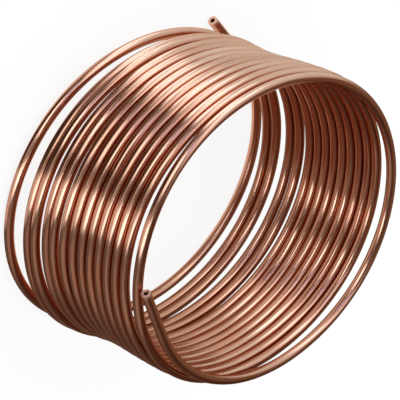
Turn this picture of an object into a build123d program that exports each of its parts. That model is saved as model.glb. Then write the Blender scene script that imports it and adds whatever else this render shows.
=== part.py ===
from build123d import *
import math
import os

os.makedirs("parts", exist_ok=True)

# Drawn tube, cut square at both ends
tube_od = 4.0
tube_bore = 2.0

# Mean turn: the soft tube is a little oval, and the oval lies slightly askew
turn_radius = 63.0
ovality = 0.04
oval_turn = 2.5

# The middle turns are slightly larger than the end turns, and line up along the +Y side
swell = 0.02

# Sideways skew of the turns, per millimetre down from the top
skew = 0.15

# Spacing of neighbouring turns from the top down, along the -X and the +X side
minus_start = -0.3
minus_spacing = [7.6, 4.1, 4.3, 4.3, 4.08, 4.08, 4.08, 4.1, 4.08, 5.3, 4.7, 6.8, 4.6, 7.0]
plus_start = 2.2
plus_spacing = [6.0, 4.08, 4.08, 4.08, 4.08, 4.2, 4.4, 4.6, 5.2, 4.5, 4.9, 4.2, 9.0]

# Handling marks along the tube: angle counted from the first turn, amount and reach in degrees.
# Down: the loose first turn dips to the second, and three low turns sit off their even pitch.
down_marks = [(270.0, 2.7, 90.0), (3880.0, -0.75, 85.0), (4760.0, 0.8, 90.0), (5045.0, 0.9, 45.0)]

# Inwards: two turns are pressed in behind their neighbours, and the last turn is flattened
inward_marks = [(3960.0, 1.0, 90.0), (4600.0, 1.8, 130.0), (5105.0, 1.5, 55.0)]

# Bulges and a waist on a slanting axis across the coil: depth, amount and reach in millimetres
bulge_angle = 49.0
bulges = [(4.0, 1.9, 26.0), (36.0, -0.8, 16.0), (57.0, 1.1, 16.0)]

# Top end: the tube leaves its turn inwards and runs straight to the cut
top_angle = 19.4
top_pull = -0.049
top_ease = 81.0
top_straight = 23.9
top_depth = -3.0

# Bottom end: the tube leaves its turn outwards and runs straight to the cut
end_angle = 32.3
end_pull = 0.045
end_ease = 106.0
end_straight = 23.2
end_rise = 2.8

# The coil leans until its open last turn rests on the floor
rest_about_x = -0.019
rest_about_y = 0.982

# The angle that each pair of arcs carries the tube round
arc_step = 45.0

# Depth below the top at each half turn, -X and +X side in turn
minus_depth = [minus_start]
for spacing in minus_spacing:
    minus_depth.append(minus_depth[-1] + spacing)
plus_depth = [plus_start]
for spacing in plus_spacing:
    plus_depth.append(plus_depth[-1] + spacing)
depth = [top_depth]
for minus_side, plus_side in zip(minus_depth, plus_depth):
    depth.append(minus_side)
    depth.append(plus_side)
depth.append(minus_depth[-1])
depth.append(minus_depth[-1] - end_rise)
last_angle = 360.0 * len(plus_depth) + 180.0 + end_angle

# Slope of the tube at each half turn, held between the slopes on its two sides
slope = [depth[1] - depth[0]]
for before, here, after in zip(depth, depth[1:], depth[2:]):
    step_in = here - before
    step_out = after - here
    if step_in * step_out > 0:
        slope.append(2 * step_in * step_out / (step_in + step_out))
    else:
        slope.append(0.0)
slope.append(depth[-1] - depth[-2])


def eased(t):
    """Smooth step from 0 to 1."""
    t = min(max(t, 0.0), 1.0)
    return t * t * (3 - 2 * t)


def humps(value, marks):
    """Sum of smooth humps, each given by its middle, its height and how far it reaches to each side."""
    total = 0.0
    for middle, height, reach in marks:
        off = min(abs(value - middle) / reach, 1.0)
        total += height * math.cos(off * math.pi / 2) ** 2
    return total


def oval(angle):
    """Distance of the oval turn from its middle."""
    return turn_radius * (1 + ovality * math.cos(2 * math.radians(angle + oval_turn)))


flush = max(oval(angle / 10) * math.sin(math.radians(angle / 10)) for angle in range(600, 1200))


def centre_line(angle):
    """Point of the tube's axis at an angle in degrees, counted on from the first turn."""
    half = angle / 180.0
    k = min(int(half), len(depth) - 2)
    t = half - k
    down = depth[k] * (2 * t**3 - 3 * t**2 + 1) + slope[k] * (t**3 - 2 * t**2 + t)
    down += depth[k + 1] * (3 * t**2 - 2 * t**3) + slope[k + 1] * (t**3 - t**2)
    down += humps(angle, down_marks)
    along = min(max(down / minus_depth[-1], 0.0), 1.0)
    size = 1 + swell * 4 * along * (1 - along)
    pull = 1 + top_pull * eased((top_angle + top_ease - angle) / top_ease)
    pull += end_pull * eased((angle - last_angle + end_ease) / end_ease)
    radius = oval(angle) * pull - humps(angle, inward_marks)
    radius += humps(down, bulges) * math.cos(math.radians(angle - bulge_angle)) ** 4
    a = math.radians(angle)
    x = size * radius * math.cos(a) + skew * down
    y = size * (radius * math.sin(a) - flush)
    return Vector(x, y, -down)


def station(angle):
    """Point and direction of the tube's axis."""
    way = centre_line(angle + 0.05) - centre_line(angle - 0.05)
    return centre_line(angle), way.normalized()


def joint(p0, t0, p1, t1):
    """Meeting point and direction of the two tangent arcs that run from p0 to p1."""
    v = p1 - p0
    t = t0 + t1
    a = 4 - t.dot(t)
    b = v.dot(t)
    d = (math.sqrt(b * b + a * v.dot(v)) - b) / a
    q0 = p0 + t0 * d
    q1 = p1 - t1 * d
    return (q0 + q1) * 0.5, (q1 - q0).normalized()


steps = round((last_angle - top_angle) / arc_step)
arc_angle = (last_angle - top_angle) / steps
stations = [station(top_angle + arc_angle * i) for i in range(steps + 1)]
first_point, first_way = stations[0]
last_point, last_way = stations[-1]
top_tip = first_point - first_way * top_straight
end_tip = last_point + last_way * end_straight

with BuildPart() as copper_tube:
    with BuildLine() as axis:
        Line(top_tip, first_point)
        for (p0, t0), (p1, t1) in zip(stations, stations[1:]):
            middle, way = joint(p0, t0, p1, t1)
            TangentArc(p0, middle, tangent=t0)
            TangentArc(middle, p1, tangent=way)
        Line(last_point, end_tip)
    with BuildSketch(Plane(origin=top_tip, z_dir=first_way)) as section:
        Circle(tube_od / 2)
        Circle(tube_bore / 2, mode=Mode.SUBTRACT)
    sweep(path=axis.wires()[0])

# The coil stands on the floor with its middle over the origin
leaned = Location((0, 0, 0), (rest_about_x, rest_about_y, 0))
copper_tube.part.move(leaned)
box = copper_tube.part.bounding_box()
shift = Vector(-box.center().X, -box.center().Y, -box.min.Z)
copper_tube.part.move(Location(shift))
copper_tube.part.label = "copper_tube"
export_step(copper_tube.part, "parts/copper_tube.step")

# Sizes and ends, for the record
length = axis.wires()[0].length
area = math.pi * (tube_od**2 - tube_bore**2) / 4
placed = copper_tube.part.bounding_box()
ends = copper_tube.part.faces().filter_by(GeomType.PLANE)
print("length", length, "volume", copper_tube.part.volume, "of", length * area)
print("box", placed.min, placed.max, "solids", len(copper_tube.part.solids()))
print("shift", shift)
for end in ends:
    print("cut end", end.center(), end.normal_at())
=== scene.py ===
import bpy
import math
import numpy as np
from mathutils import Matrix, Vector


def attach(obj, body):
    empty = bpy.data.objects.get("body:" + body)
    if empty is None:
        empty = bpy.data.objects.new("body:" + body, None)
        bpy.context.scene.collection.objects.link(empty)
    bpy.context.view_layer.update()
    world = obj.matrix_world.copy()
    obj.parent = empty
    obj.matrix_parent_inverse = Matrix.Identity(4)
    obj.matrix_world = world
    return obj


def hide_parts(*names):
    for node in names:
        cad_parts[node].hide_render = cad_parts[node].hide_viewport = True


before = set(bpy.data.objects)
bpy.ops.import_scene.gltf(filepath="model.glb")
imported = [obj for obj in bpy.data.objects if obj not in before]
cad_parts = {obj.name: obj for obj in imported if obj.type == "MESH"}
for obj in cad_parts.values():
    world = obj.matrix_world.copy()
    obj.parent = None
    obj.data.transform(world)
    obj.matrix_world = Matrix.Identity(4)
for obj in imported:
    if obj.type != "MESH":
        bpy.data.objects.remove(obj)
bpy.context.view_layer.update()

# Sizes of the coil in millimetres and degrees, as in the part's source
TUBE_OD, TUBE_BORE = 4.0, 2.0
TURN_RADIUS, OVALITY, OVAL_TURN = 63.0, 0.04, 2.5
SWELL, SKEW = 0.02, 0.15
MINUS_START, PLUS_START = -0.3, 2.2
MINUS_SPACING = [7.6, 4.1, 4.3, 4.3, 4.08, 4.08, 4.08, 4.1, 4.08, 5.3, 4.7, 6.8, 4.6, 7.0]
PLUS_SPACING = [6.0, 4.08, 4.08, 4.08, 4.08, 4.2, 4.4, 4.6, 5.2, 4.5, 4.9, 4.2, 9.0]
DOWN_MARKS = [(270.0, 2.7, 90.0), (3880.0, -0.75, 85.0), (4760.0, 0.8, 90.0), (5045.0, 0.9, 45.0)]
INWARD_MARKS = [(3960.0, 1.0, 90.0), (4600.0, 1.8, 130.0), (5105.0, 1.5, 55.0)]
BULGE_ANGLE = 49.0
BULGES = [(4.0, 1.9, 26.0), (36.0, -0.8, 16.0), (57.0, 1.1, 16.0)]
TOP_ANGLE, TOP_PULL, TOP_EASE, TOP_STRAIGHT, TOP_DEPTH = 19.4, -0.049, 81.0, 23.9, -3.0
END_ANGLE, END_PULL, END_EASE, END_STRAIGHT, END_RISE = 32.3, 0.045, 106.0, 23.2, 2.8
LAST_ANGLE = 360.0 * (len(PLUS_SPACING) + 1) + 180.0 + END_ANGLE
REST_ABOUT_X, REST_ABOUT_Y = -0.019, 0.982

# Angles along the +Y side, where the turns line up, and the step that gives the tube's direction at an end
PLUS_Y_SIDE = np.arange(60.0, 120.0, 0.1)
BESIDE = 0.05

# Facets: sides round the tube, degrees from ring to ring, steps along a straight end, and how many rings
# of the outside go to one ring of the bore
SIDES = 24
STEP = 2.25
STRAIGHT_STEPS = 10
BORE_EVERY = 3

# Rings round the deburred cut, in millimetres: set-back from the cut along the tube, and radius
CUT_RIM = [(0.16, 2.0), (0.05, 1.96), (0.0, 1.84), (0.0, 1.14), (0.05, 1.03), (0.18, 1.0)]

# Closeness to the CAD solid, whose axis is made of arcs: a scale, and a gap over the floor in millimetres
FIT = 0.9997
FLOOR_GAP = 0.003

# Metres in a millimetre
METRES = 0.001


def eased(t):
    """Smooth step from 0 to 1: three times t squared, less twice t cubed."""
    t = np.clip(t, 0, 1)
    return t * t * (3 - 2 * t)


def humps(value, marks):
    """Sum of squared-cosine humps, each given by its middle, its height and its reach to each side."""
    total = np.zeros_like(value)
    for middle, height, reach in marks:
        off = np.clip((value - middle) / reach, -1, 1)
        total += height * np.cos(off * math.pi / 2) ** 2
    return total


def oval(angle):
    """Distance of the oval turn from its middle: the mean radius, with a small cosine of twice the angle."""
    return TURN_RADIUS * (1 + OVALITY * np.cos(2 * np.radians(angle + OVAL_TURN)))


def depth_below_top(angle):
    """Depth of the tube below the top, and of its last turn: a monotone cubic through the depths at each
    half turn, -X and +X side in turn, with humps where a turn sits off its even pitch."""
    minus = np.cumsum([MINUS_START] + MINUS_SPACING)
    plus = np.cumsum([PLUS_START] + PLUS_SPACING)
    pairs = np.stack([minus[:-1], plus], axis=1).ravel()
    depth = np.concatenate([[TOP_DEPTH], pairs, [minus[-1], minus[-1] - END_RISE]])
    step = np.diff(depth)
    both = step[:-1] * step[1:]
    inner = np.where(both > 0, 2 * both / np.where(both > 0, step[:-1] + step[1:], 1.0), 0.0)
    slope = np.concatenate([[step[0]], inner, [step[-1]]])
    half = angle / 180.0
    k = np.clip(half.astype(int), 0, len(depth) - 2)
    t = half - k
    down = depth[k] * (2 * t**3 - 3 * t**2 + 1) + slope[k] * (t**3 - 2 * t**2 + t)
    down = down + depth[k + 1] * (3 * t**2 - 2 * t**3) + slope[k + 1] * (t**3 - t**2)
    return down + humps(angle, DOWN_MARKS), minus[-1]


def centre_line(angle):
    """Axis of the tube at an array of angles: an oval turn that swells at mid height and skews sideways with
    depth, pulled in or out near the two ends, pressed in where it was handled, and bulged along a slanting
    axis. Its +Y side is held in line."""
    down, last = depth_below_top(angle)
    along = np.clip(down / last, 0, 1)
    size = 1 + SWELL * 4 * along * (1 - along)
    pull = 1 + TOP_PULL * eased((TOP_ANGLE + TOP_EASE - angle) / TOP_EASE)
    pull = pull + END_PULL * eased((angle - LAST_ANGLE + END_EASE) / END_EASE)
    radius = oval(angle) * pull - humps(angle, INWARD_MARKS)
    radius = radius + humps(down, BULGES) * np.cos(np.radians(angle - BULGE_ANGLE)) ** 4
    flush = (oval(PLUS_Y_SIDE) * np.sin(np.radians(PLUS_Y_SIDE))).max()
    a = np.radians(angle)
    x = size * radius * np.cos(a) + SKEW * down
    y = size * (radius * np.sin(a) - flush)
    return np.stack([x, y, -down], axis=-1)


def rested(points):
    """Points turned a little about Y and then X, as the coil leans on its open last turn."""
    a, b = math.radians(REST_ABOUT_X), math.radians(REST_ABOUT_Y)
    about_x = np.array([[1, 0, 0], [0, math.cos(a), -math.sin(a)], [0, math.sin(a), math.cos(a)]])
    about_y = np.array([[math.cos(b), 0, math.sin(b)], [0, 1, 0], [-math.sin(b), 0, math.cos(b)]])
    return points @ (about_x @ about_y).T


def direction(angle):
    """Unit direction of the tube's axis at one angle, from the points just before and just after it."""
    before, after = centre_line(np.array([angle - BESIDE, angle + BESIDE]))
    return (after - before) / np.linalg.norm(after - before)


def whole_axis():
    """Points of the tube's axis from cut to cut: even steps round the turns, and a straight run at each end
    that goes on in the direction of its turn."""
    angle = np.linspace(TOP_ANGLE, LAST_ANGLE, int((LAST_ANGLE - TOP_ANGLE) / STEP) + 1)
    turns = centre_line(angle)
    before = np.linspace(TOP_STRAIGHT, 0, STRAIGHT_STEPS, endpoint=False)[:, None]
    after = np.linspace(0, END_STRAIGHT, STRAIGHT_STEPS + 1)[1:, None]
    top = turns[0] - direction(TOP_ANGLE) * before
    end = turns[-1] + direction(LAST_ANGLE) * after
    return rested(np.concatenate([top, turns, end]))


def mesh_object(name, points, faces, material):
    """Mesh piece from an array of points in metres and an array of quads, shaded smooth."""
    mesh = bpy.data.meshes.new(name)
    mesh.from_pydata(points.tolist(), [], faces.tolist())
    mesh.polygons.foreach_set("use_smooth", np.ones(len(mesh.polygons), dtype=bool))
    mesh.materials.append(material)
    mesh.update()
    piece = bpy.data.objects.new(name, mesh)
    bpy.context.scene.collection.objects.link(piece)
    return piece


def point_values(piece, name, values):
    """Named values on a piece's points, for its material: one number each, or three that give a place."""
    kind, key = ("FLOAT_VECTOR", "vector") if values.ndim == 2 else ("FLOAT", "value")
    attribute = piece.data.attributes.new(name, kind, "POINT")
    attribute.data.foreach_set(key, values.astype(np.float32).ravel())


def copper_coil(material):
    """The whole tube as one closed surface. A closed profile runs along the outside from cut to cut, over the
    rim, across the cut face, and back through the bore; each of its stations is a ring about the axis, a
    cosine along the upward normal and a sine across it."""
    axis = whole_axis()
    tangent = np.gradient(axis, axis=0)
    tangent /= np.linalg.norm(tangent, axis=1, keepdims=True)
    length = np.concatenate([[0], np.cumsum(np.linalg.norm(np.diff(axis, axis=0), axis=1))])
    upward = np.array([0.0, 0.0, 1.0]) - tangent * tangent[:, 2:3]
    upward /= np.linalg.norm(upward, axis=1, keepdims=True)
    across = np.cross(tangent, upward)

    # Stations of the closed profile: place on the axis, set-back along it, ring radius, and kind of surface
    last = len(axis) - 1
    setback, rim = np.array(CUT_RIM).T
    outside = np.arange(1, last)
    inside = np.arange(last - 1, 0, -BORE_EVERY)
    rings = len(CUT_RIM)
    index = np.concatenate([outside, [last] * rings, inside, [0] * rings])
    inset = np.concatenate([0 * outside, -setback, 0 * inside, setback[::-1]])
    radius = np.concatenate([0 * outside + TUBE_OD / 2, rim, 0 * inside + TUBE_BORE / 2, rim[::-1]])
    cut = np.concatenate([0 * outside, np.ones(rings), 0 * inside, np.ones(rings)])
    bore = np.concatenate([0 * outside, np.zeros(rings), 0 * inside + 1, np.zeros(rings)])
    turn = np.linspace(0, 2 * math.pi, SIDES, endpoint=False)
    centre = axis[index] + tangent[index] * inset[:, None]
    ring = np.cos(turn)[None, :, None] * upward[index][:, None, :]
    ring = ring + np.sin(turn)[None, :, None] * across[index][:, None, :]
    points = (centre[:, None, :] + radius[:, None, None] * ring).reshape(-1, 3)

    # Middle of the box over the origin, lowest turn at the floor, and all of it just inside the CAD box
    low, high = points.min(0), points.max(0)
    points = points - np.array([(low[0] + high[0]) / 2, (low[1] + high[1]) / 2, low[2] - FLOOR_GAP])
    points = points * FIT
    rows, cols = np.meshgrid(np.arange(len(index)), np.arange(SIDES), indexing="ij")
    down, over = (rows + 1) % len(index), (cols + 1) % SIDES
    quads = [rows * SIDES + cols, rows * SIDES + over, down * SIDES + over, down * SIDES + cols]
    faces = np.stack(quads, axis=-1).reshape(-1, 4)
    piece = mesh_object("coil_tube", points * METRES, faces, material)

    # Place on the drawn tube: metres along it, and the direction round it; then where it is cut, and its bore
    along = np.repeat(length[index] * METRES, SIDES)
    round_it = np.tile(np.stack([np.cos(turn), np.sin(turn)], axis=1), (len(index), 1))
    point_values(piece, "lay", np.column_stack([along, round_it]))
    point_values(piece, "cut_metal", np.repeat(cut, SIDES))
    point_values(piece, "bore", np.repeat(bore, SIDES))
    return piece


class Tree:
    """Short hand for a material's nodes and links."""

    def __init__(self, material):
        self.nodes, self.links = material.node_tree.nodes, material.node_tree.links

    def fill(self, socket, value):
        """Link to a socket where the value is one, and a plain setting otherwise."""
        if isinstance(value, bpy.types.NodeSocket):
            self.links.new(value, socket)
        else:
            socket.default_value = value

    def add(self, kind, inputs=None, **settings):
        """New shader node with its settings and inputs."""
        node = self.nodes.new("ShaderNode" + kind)
        for key, value in settings.items():
            setattr(node, key, value)
        for key, value in (inputs or {}).items():
            self.fill(node.inputs[key], value)
        return node

    def noise(self, where, grain, detail, rough=0.5):
        """Noise on the tube's own place, stretched along and round it by the grain."""
        scaled = self.add("VectorMath", {0: where, 1: grain}, operation="MULTIPLY").outputs["Vector"]
        inputs = {"Vector": scaled, "Scale": 1.0, "Detail": detail, "Roughness": rough}
        return self.add("TexNoise", inputs).outputs["Fac"]

    def remap(self, value, low, high, to_low, to_high):
        """Value spread in a straight line from one range to another, and held at its two ends."""
        inputs = {"Value": value, "From Min": low, "From Max": high, "To Min": to_low, "To Max": to_high}
        return self.add("MapRange", inputs).outputs["Result"]

    def blend(self, factor, first, second):
        """Colour between a first and a second one, by a factor from 0 to 1."""
        node = self.add("Mix", data_type="RGBA", blend_type="MIX", clamp_result=False)
        for name, value in (("Factor_Float", factor), ("A_Color", first), ("B_Color", second)):
            self.fill(next(s for s in node.inputs if s.identifier == name), value)
        return next(s for s in node.outputs if s.identifier == "Result_Color")


# Colours of the metal, and of the painted shade in its grooves and bore
BRIGHT_COPPER = (0.71, 0.36, 0.235, 1.0)
DULL_COPPER = (0.52, 0.215, 0.125, 1.0)
BROWN_SPOT = (0.22, 0.085, 0.05, 1.0)
# Dark red painted shade for the grooves where turns touch
GROOVE_SHADE_RED = (0.43, 0.125, 0.055, 1.0)
FRESH_CUT = (0.77, 0.45, 0.32, 1.0)
# Bore colour, nearly black: dull oxide with painted shade inside the tube
BORE_OXIDE_AND_SHADE = (0.10, 0.045, 0.03, 1.0)
EDGE_COPPER = (0.84, 0.62, 0.51, 1.0)

# Grain of each noise: cells to a metre along the tube, and cells to a radius in the two directions across it
PATCH_GRAIN = (24.0, 0.9, 0.9)
LINE_GRAIN = (10.0, 11.0, 11.0)
SPECK_GRAIN = (170.0, 1.6, 1.6)
WOBBLE_GRAIN = (30.0, 0.7, 0.7)

# Range of a noise or a direction, and the range of colour share or roughness that it gives
TARNISH = (0.42, 0.72, 0.0, 0.75)
SCORED = (0.5, 0.75, 0.0, 0.35)
SPOTTED = (0.68, 0.80, 0.0, 0.35)
# Painted shade: how far the surface lies up or down, towards a groove, sets how much dark red is painted
GROOVE_SHADE_RANGE = (0.60, 0.98, 0.0, 0.7)
PATCH_ROUGH = (0.3, 0.75, 0.11, 0.22)
LINE_ROUGH = (0.3, 0.75, -0.03, 0.06)
CUT_ROUGH = 0.35

# Relief in metres, and the strength of the drawing lines
WOBBLE_RELIEF = 0.0005
LINE_RELIEF, LINE_STRENGTH = 0.00004, 0.25


def copper_finish():
    """Drawn copper: a metal whose colour, gloss and relief follow noise along the tube, for drawing lines,
    soft patches of tarnish and small brown spots. Dark red painted shade grows with the upward or downward
    lie of the surface, in the grooves where turns touch. The bore is darkened nearly to black, dull oxide
    with painted shade, the two cuts are fresh and rougher, and grazing edges keep a copper tint."""
    material = bpy.data.materials.new("drawn_copper")
    material.use_nodes = True
    tree = Tree(material)
    shader = tree.nodes["Principled BSDF"]
    shader.inputs["Metallic"].default_value = 1.0
    shader.inputs["Specular Tint"].default_value = EDGE_COPPER
    lay = tree.add("Attribute", attribute_name="lay").outputs["Vector"]
    cut = tree.add("Attribute", attribute_name="cut_metal").outputs["Fac"]
    bore = tree.add("Attribute", attribute_name="bore").outputs["Fac"]

    patches = tree.noise(lay, PATCH_GRAIN, detail=4.0, rough=0.6)
    lines = tree.noise(lay, LINE_GRAIN, detail=3.0, rough=0.6)
    specks = tree.noise(lay, SPECK_GRAIN, detail=2.0)
    wobble = tree.noise(lay, WOBBLE_GRAIN, detail=1.0)
    upward = tree.add("SeparateXYZ", {0: lay}).outputs["Y"]
    groove_shade_mask = tree.add("Math", {0: upward}, operation="ABSOLUTE").outputs[0]

    colour = tree.blend(tree.remap(patches, *TARNISH), BRIGHT_COPPER, DULL_COPPER)
    colour = tree.blend(tree.remap(lines, *SCORED), colour, DULL_COPPER)
    colour = tree.blend(tree.remap(specks, *SPOTTED), colour, BROWN_SPOT)
    # Painted shade: dark red in the grooves where turns touch, by the upward or downward lie of the surface
    colour = tree.blend(tree.remap(groove_shade_mask, *GROOVE_SHADE_RANGE), colour, GROOVE_SHADE_RED)
    # Painted shade in the bore, on top of its dull oxide: the inside of the tube is darkened nearly to black
    colour = tree.blend(bore, colour, BORE_OXIDE_AND_SHADE)
    colour = tree.blend(cut, colour, FRESH_CUT)
    tree.links.new(colour, shader.inputs["Base Color"])

    gloss = {0: tree.remap(patches, *PATCH_ROUGH), 1: tree.remap(lines, *LINE_ROUGH)}
    drawn = tree.add("Math", gloss, operation="ADD").outputs[0]
    sawn = tree.add("Math", {0: cut, 1: CUT_ROUGH, 2: drawn}, operation="MULTIPLY_ADD").outputs[0]
    tree.links.new(sawn, shader.inputs["Roughness"])

    waves = tree.add("Bump", {"Height": wobble, "Strength": 1.0, "Distance": WOBBLE_RELIEF})
    scores = tree.add("Bump", {"Height": lines, "Strength": LINE_STRENGTH, "Distance": LINE_RELIEF})
    tree.links.new(waves.outputs["Normal"], scores.inputs["Normal"])
    tree.links.new(scores.outputs["Normal"], shader.inputs["Normal"])
    return material


copper = copper_finish()
coil = copper_coil(copper)
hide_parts("copper_tube")
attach(coil, "root")

# The floor's own white, how much of what is seen of it is plain white, and half its width in metres
FLOOR_WHITE = (0.93, 0.93, 0.93, 1.0)
FLOOR_GLOW = 0.85
FLOOR_HALF = 4.0


def floor_finish():
    """White floor that keeps a soft shadow: diffuse, and mostly plain white for the rays that should meet the
    background, from the camera, the metal and through glass."""
    material = bpy.data.materials.new("white_floor")
    material.use_nodes = True
    tree = Tree(material)
    tree.nodes.remove(tree.nodes["Principled BSDF"])
    lit = tree.add("BsdfDiffuse", {"Color": FLOOR_WHITE}).outputs[0]
    even = tree.add("Emission", {"Strength": 1.0}).outputs[0]
    path = tree.add("LightPath").outputs
    plain = tree.add("Math", {0: path["Is Camera Ray"], 1: path["Is Glossy Ray"]}, operation="MAXIMUM")
    seen = tree.add("Math", {0: plain.outputs[0], 1: path["Is Transmission Ray"]}, operation="MAXIMUM")
    share = tree.remap(seen.outputs[0], 0.0, 1.0, 0.0, FLOOR_GLOW)
    mixed = tree.add("MixShader", {0: share, 1: lit, 2: even}).outputs[0]
    tree.links.new(mixed, tree.nodes["Material Output"].inputs["Surface"])
    return material


def floor_sheet():
    """Level square about the origin: half its width times the corners of a unit square."""
    corner = FLOOR_HALF * np.array([[-1.0, -1.0, 0.0], [1.0, -1.0, 0.0], [1.0, 1.0, 0.0], [-1.0, 1.0, 0.0]])
    return mesh_object("floor", corner, np.array([[0, 1, 2, 3]]), floor_finish())


floor_sheet()

# Steps of a card from its first to its last bearing
CARD_STEPS = 64


def card_finish(name, shade):
    """Even glow that is clear where the card's cover falls to 0."""
    material = bpy.data.materials.new(name)
    material.use_nodes = True
    tree = Tree(material)
    tree.nodes.remove(tree.nodes["Principled BSDF"])
    glow = tree.add("Emission", {"Color": (*shade, 1.0), "Strength": 1.0}).outputs[0]
    clear = tree.add("BsdfTransparent").outputs[0]
    cover = tree.add("Attribute", attribute_name="cover").outputs["Fac"]
    mixed = tree.add("MixShader", {0: cover, 1: clear, 2: glow}).outputs[0]
    tree.links.new(mixed, tree.nodes["Material Output"].inputs["Surface"])
    return material


def card(name, first_bearing, last_bearing, profile, shade, soft):
    """Card that only the metal mirrors: a profile of radius and height in metres, carried round the coil's
    axis between two bearings, counted in degrees from -Y towards +X. Its cover eases to 0 over the soft
    degrees at its first and last side."""
    degrees = np.linspace(first_bearing, last_bearing, CARD_STEPS + 1)
    bearing = np.radians(degrees)
    radius, height = np.array(profile).T
    x = np.sin(bearing)[:, None] * radius[None, :]
    y = -np.cos(bearing)[:, None] * radius[None, :]
    points = np.stack([x, y, np.broadcast_to(height, x.shape)], axis=-1).reshape(-1, 3)
    rows, cols = np.meshgrid(np.arange(CARD_STEPS), np.arange(len(profile) - 1), indexing="ij")
    here = rows * len(profile) + cols
    beyond = here + len(profile)
    faces = np.stack([here, beyond, beyond + 1, here + 1], axis=-1).reshape(-1, 4)
    piece = mesh_object(name, points, faces, card_finish(name, shade))
    fade = eased((degrees - first_bearing) / soft[0]) * eased((last_bearing - degrees) / soft[1])
    point_values(piece, "cover", np.repeat(fade, len(profile)))
    piece.visible_camera = False
    piece.visible_diffuse = False
    piece.visible_shadow = False


def wall(radius, low, high):
    """Upright profile of a card: one radius, from a low to a high edge."""
    return [(radius, low), (radius, high)]


def apron(height, inner, outer):
    """Level profile of a card just over the floor: one height, from an inner to an outer radius."""
    return [(inner, height), (outer, height)]


# Profiles that lean in over the coil, and shades that more than one card has
SKY = [(0.50, 0.0006), (0.50, 0.45), (0.30, 0.75), (0.002, 0.85)]
NEAR_SKY = [(0.48, 0.0010), (0.48, 0.45), (0.28, 0.72), (0.002, 0.82)]
KEY_SKY = [(0.45, 0.07), (0.45, 0.45), (0.26, 0.70), (0.002, 0.80)]
WARM_SKY = [(0.44, 0.0012), (0.44, 0.45), (0.25, 0.69)]
HIGH_EDGE = [(0.46, 0.25), (0.40, 0.55), (0.2, 0.75)]
DIM = (0.17, 0.15, 0.14)
PALE = (0.93, 1.26, 1.50)
WARM = (0.27, 0.24, 0.19)

# Cards round the coil, for what the metal mirrors: a dim surround of wall and floor, and pale and bright
# panels before it. Columns: name, first and last bearing, profile, shade, and the soft degrees at each side
ROUND_THE_COIL = [
    ("surround_sky", 4.0, 300.0, SKY, DIM, (6.0, 6.0)),
    ("surround_floor", 6.0, 300.0, apron(0.0006, 0.070, 0.50), DIM, (6.0, 6.0)),
    ("pale_sky", -150.0, -4.0, NEAR_SKY, PALE, (70.0, 12.0)),
    ("pale_floor", -150.0, -4.0, apron(0.0009, 0.070, 0.48), PALE, (70.0, 6.0)),
    ("deep_sky", 150.0, 240.0, NEAR_SKY, (0.11, 0.08, 0.068), (20.0, 30.0)),
    ("key_sky", -33.0, 0.0, KEY_SKY, (2.0, 2.85, 3.6), (7.0, 7.0)),
    ("key_floor", -18.0, 14.0, apron(0.0012, 0.070, 0.45), (1.8, 2.55, 3.2), (8.0, 8.0)),
    ("cool_edge", 8.0, 22.0, HIGH_EDGE, (1.25, 1.45, 2.6), (5.0, 5.0)),
    ("window", 21.0, 56.0, wall(0.46, 0.115, 0.60), (2.2, 2.75, 3.2), (6.0, 6.0)),
    ("glow", 12.0, 72.0, wall(0.46, 0.001, 0.115), (0.85, 0.85, 0.85), (6.0, 6.0)),
    ("dark_floor", 30.0, 66.0, apron(0.0009, 0.070, 0.48), (0.06, 0.05, 0.045), (8.0, 8.0)),
    ("strip_sky", 69.5, 95.0, wall(0.45, 0.10, 0.60), (2.9, 3.6, 4.2), (5.0, 5.0)),
    ("strip_foot", 69.5, 95.0, wall(0.45, 0.001, 0.10), (1.9, 2.2, 2.4), (5.0, 5.0)),
    ("strip_floor", 65.0, 90.0, apron(0.0012, 0.070, 0.45), (0.8, 0.83, 0.86), (5.0, 5.0)),
    ("far_glow", 97.0, 155.0, wall(0.46, 0.001, 0.45), (0.40, 0.35, 0.33), (15.0, 15.0)),
    ("warm_sky", -160.0, -68.0, WARM_SKY, WARM, (45.0, 26.0)),
    ("warm_floor", -160.0, -68.0, apron(0.0012, 0.070, 0.44), WARM, (45.0, 26.0)),
]

# Cards inside the coil and over its near rim, for what the inside of the turns mirrors, with the same columns
INSIDE_THE_COIL = [
    ("inner_floor", 150.0, 280.0, apron(0.0007, 0.004, 0.058), (0.32, 0.27, 0.24), (15.0, 10.0)),
    ("inner_dark", 248.0, 310.0, wall(0.0515, 0.001, 0.070), (0.20, 0.08, 0.05), (10.0, 6.0)),
    ("inner_light", 250.0, 350.0, wall(0.0505, 0.001, 0.070), (0.78, 0.78, 0.74), (10.0, 10.0)),
    ("inner_low", -12.0, 18.0, wall(0.048, 0.072, 0.170), (0.20, 0.15, 0.13), (8.0, 8.0)),
    ("inner_side", 54.0, 94.0, wall(0.048, 0.072, 0.170), (0.15, 0.10, 0.08), (9.0, 9.0)),
]

for row in ROUND_THE_COIL + INSIDE_THE_COIL:
    card(*row)

# Middle of the coil, which the lamps face
LAMP_AIM = Vector((0.0, 0.0, 0.035))


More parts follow.
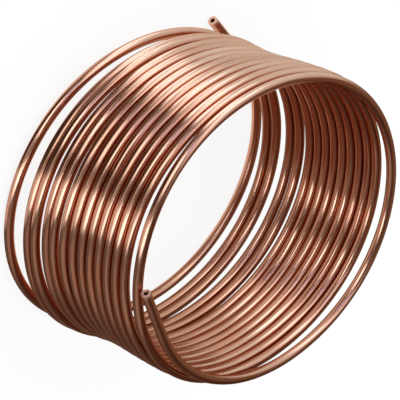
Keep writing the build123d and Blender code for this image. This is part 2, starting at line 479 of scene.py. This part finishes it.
def softbox(name, bearing, elevation, distance, width, height, radiance):
    """Area lamp for the floor's soft shadow, which the metal doesn't mirror. Its power is pi times its area
    times its radiance, and it faces the coil from a bearing counted from -Y towards +X."""
    lamp = bpy.data.lights.new(name, "AREA")
    lamp.shape = "RECTANGLE"
    lamp.size, lamp.size_y = width, height
    lamp.energy = radiance * math.pi * width * height
    holder = bpy.data.objects.new(name, lamp)
    b, e = math.radians(bearing), math.radians(elevation)
    way = Vector((math.sin(b) * math.cos(e), -math.cos(b) * math.cos(e), math.sin(e)))
    holder.location = LAMP_AIM + way * distance
    holder.rotation_mode = "QUATERNION"
    holder.rotation_quaternion = way.to_track_quat("Z", "Y")
    holder.visible_camera = False
    holder.visible_glossy = False
    bpy.context.scene.collection.objects.link(holder)


softbox("key", bearing=-20.0, elevation=50.0, distance=1.2, width=0.6, height=0.8, radiance=1.5)
softbox("top", bearing=0.0, elevation=89.0, distance=1.5, width=1.0, height=1.0, radiance=0.8)

# Plain white light all round
world = bpy.data.worlds.new("studio")
bpy.context.scene.world = world
world.use_nodes = True
backdrop = world.node_tree.nodes["Background"]
backdrop.inputs["Color"].default_value = (1.0, 1.0, 1.0, 1.0)
backdrop.inputs["Strength"].default_value = 1.0

# Camera at the photograph's angle to the coil, rolled so that the coil's axis slants across the picture
CAMERA_PLACE = (0.812993, -0.689886, 0.895079)
CAMERA_BACK = Vector((0.593616, -0.503309, 0.627933)).normalized()
CAMERA_UP = Vector((-0.345950, -0.864106, -0.365566))
CAMERA_RIGHT = CAMERA_UP.cross(CAMERA_BACK).normalized()
lens = bpy.data.cameras.new("camera")
lens.sensor_width = 36.0
lens.lens = 315.0
lens.clip_start, lens.clip_end = 0.05, 50.0
camera = bpy.data.objects.new("camera", lens)
camera.location = CAMERA_PLACE
camera.rotation_mode = "QUATERNION"
camera_axes = Matrix((CAMERA_RIGHT, CAMERA_BACK.cross(CAMERA_RIGHT), CAMERA_BACK)).transposed()
camera.rotation_quaternion = camera_axes.to_quaternion()
bpy.context.scene.collection.objects.link(camera)
bpy.context.scene.camera = camera
bpy.context.scene.view_settings.view_transform = "Standard"
